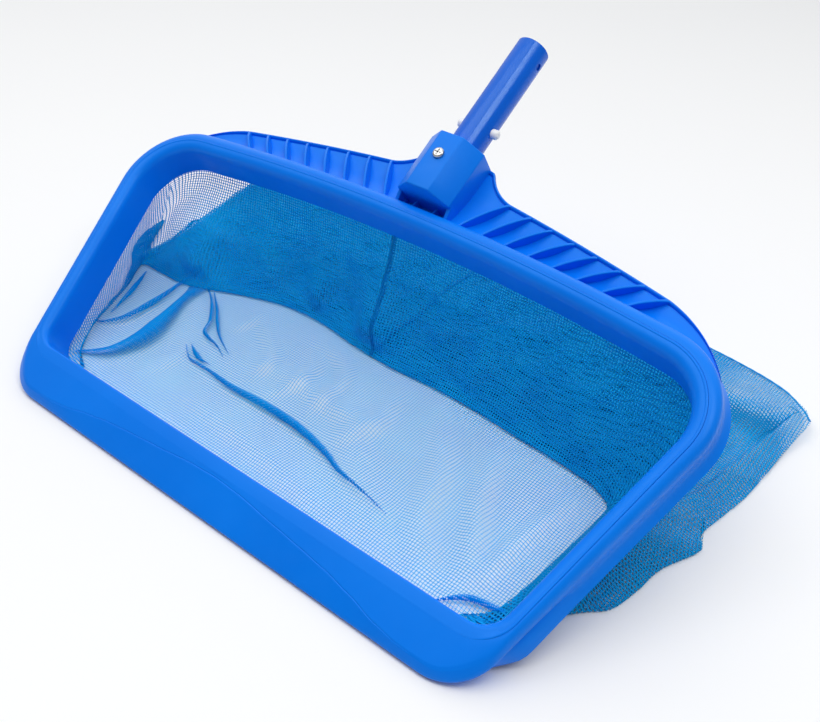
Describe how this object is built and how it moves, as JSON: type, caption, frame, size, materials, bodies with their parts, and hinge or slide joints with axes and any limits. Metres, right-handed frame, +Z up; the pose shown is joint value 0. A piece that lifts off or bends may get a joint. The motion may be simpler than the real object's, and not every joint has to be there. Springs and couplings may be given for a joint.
{
  "type": "leaf skimmer net",
  "caption": "Leaf skimmer head for pools: wide moulded rim with a scraper blade, finned gusset, socketed handle stub with snap buttons and a deep mesh bag.",
  "frame": {"origin": "centre of the bounding box at ground level, with the underside of the blade and the bag on the ground", "axes": "+Z up, +X to the right along the blade, +Y from the blade towards the handle"},
  "size_m": [0.616, 0.407, 0.2282],
  "materials": {
    "frame_plastic": "satin",
    "stub_plastic": "gloss",
    "spring_steel": "satin",
    "button_plastic": "gloss",
    "screw_steel": "polished",
    "bead_plastic": "satin",
    "net": "woven mesh",
    "binding": "woven tape"
  },
  "bodies": {
    "root": {"outer_frame": "frame_plastic", "inner_ring": "frame_plastic", "handle_socket": "frame_plastic", "handle_stub": "stub_plastic", "button_spring": "spring_steel", "socket_screw": "screw_steel", "hem_bead": "bead_plastic", "bottom_net": "net", "upper_net_right": "net", "upper_net_left": "net", "side_net_right": "net", "side_net_left": "net", "centre_seam": "binding", "rear_seam": "binding"},
    "snap_button_right": {"button_right": "button_plastic"},
    "snap_button_left": {"button_left": "button_plastic"}
  },
  "joints": [
    {"name": "button_right_press", "type": "slide", "parent": "root", "child": "snap_button_right", "axis": [-1, 0, 0], "range_m": [0, 0.0056], "stiffness_N_per_m": 900, "deforming": ["button_spring"]},
    {"name": "button_left_press", "type": "slide", "parent": "root", "child": "snap_button_left", "axis": [1, 0, 0], "range_m": [0, 0.0056], "stiffness_N_per_m": 900, "deforming": ["button_spring"]}
  ]
}
